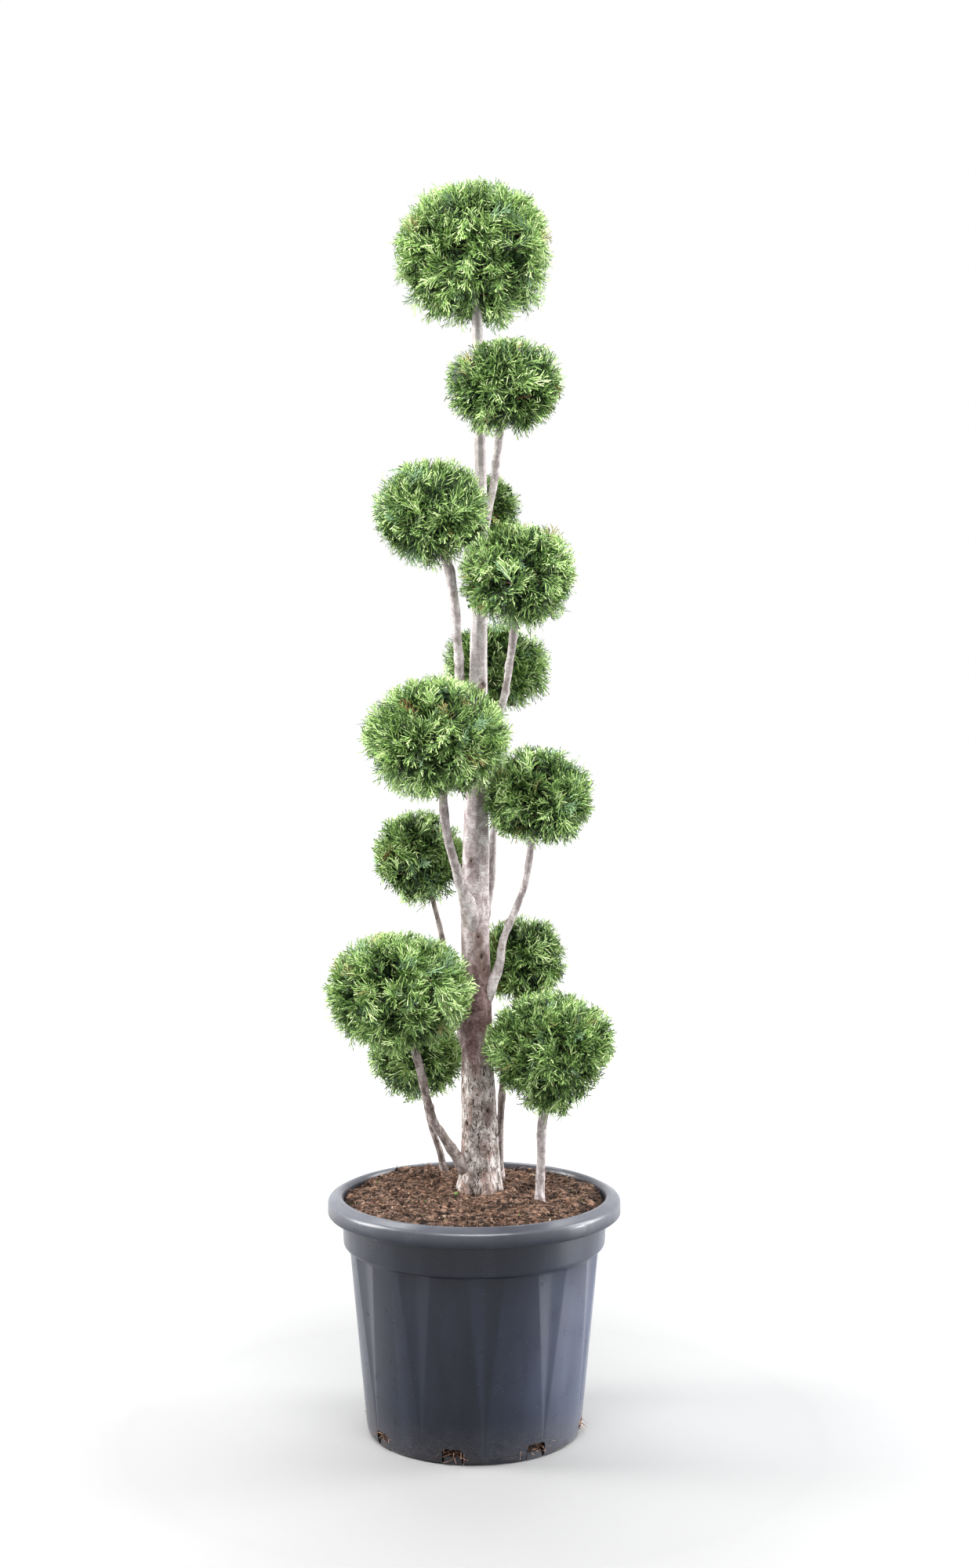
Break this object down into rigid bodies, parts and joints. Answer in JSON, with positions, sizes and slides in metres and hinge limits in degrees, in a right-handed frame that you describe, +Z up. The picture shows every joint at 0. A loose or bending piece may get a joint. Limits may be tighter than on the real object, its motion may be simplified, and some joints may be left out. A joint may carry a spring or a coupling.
{
  "type": "potted thuja",
  "caption": "Cloud-pruned thuja: clipped balls of foliage on an upright trunk, boughs and slim stems, in a round soil-filled nursery pot.",
  "frame": {"origin": "middle of the pot's flat underside, on the surface that the pot stands on", "axes": "+Z up along the trunk, -Y towards the front of the plant, +X to the right as seen from the front"},
  "size_m": [0.4218, 0.4218, 1.7996],
  "materials": {
    "pot": "dark slate plastic, satin",
    "soil": "moist fibrous peat",
    "trunk_bark": "grey-brown bark, flaky at the foot",
    "bough_bark": "smooth pale bark",
    "foliage": "fresh green scale-leaf sprays"
  },
  "bodies": {
    "root": {"pot": "pot", "soil": "soil", "trunk": "trunk_bark", "bough_02": "bough_bark", "bough_03": "bough_bark", "bough_04": "bough_bark", "bough_05": "bough_bark", "bough_06": "bough_bark", "bough_07": "bough_bark", "bough_08": "bough_bark", "bough_09": "bough_bark", "bough_10": "bough_bark", "stem_11": "bough_bark", "stem_12": "bough_bark", "stem_13": "bough_bark", "ball_01": "foliage", "ball_02": "foliage", "ball_03": "foliage", "ball_04": "foliage", "ball_05": "foliage", "ball_06": "foliage", "ball_07": "foliage", "ball_08": "foliage", "ball_09": "foliage", "ball_10": "foliage", "ball_11": "foliage", "ball_12": "foliage", "ball_13": "foliage"}
  },
  "joints": []
}
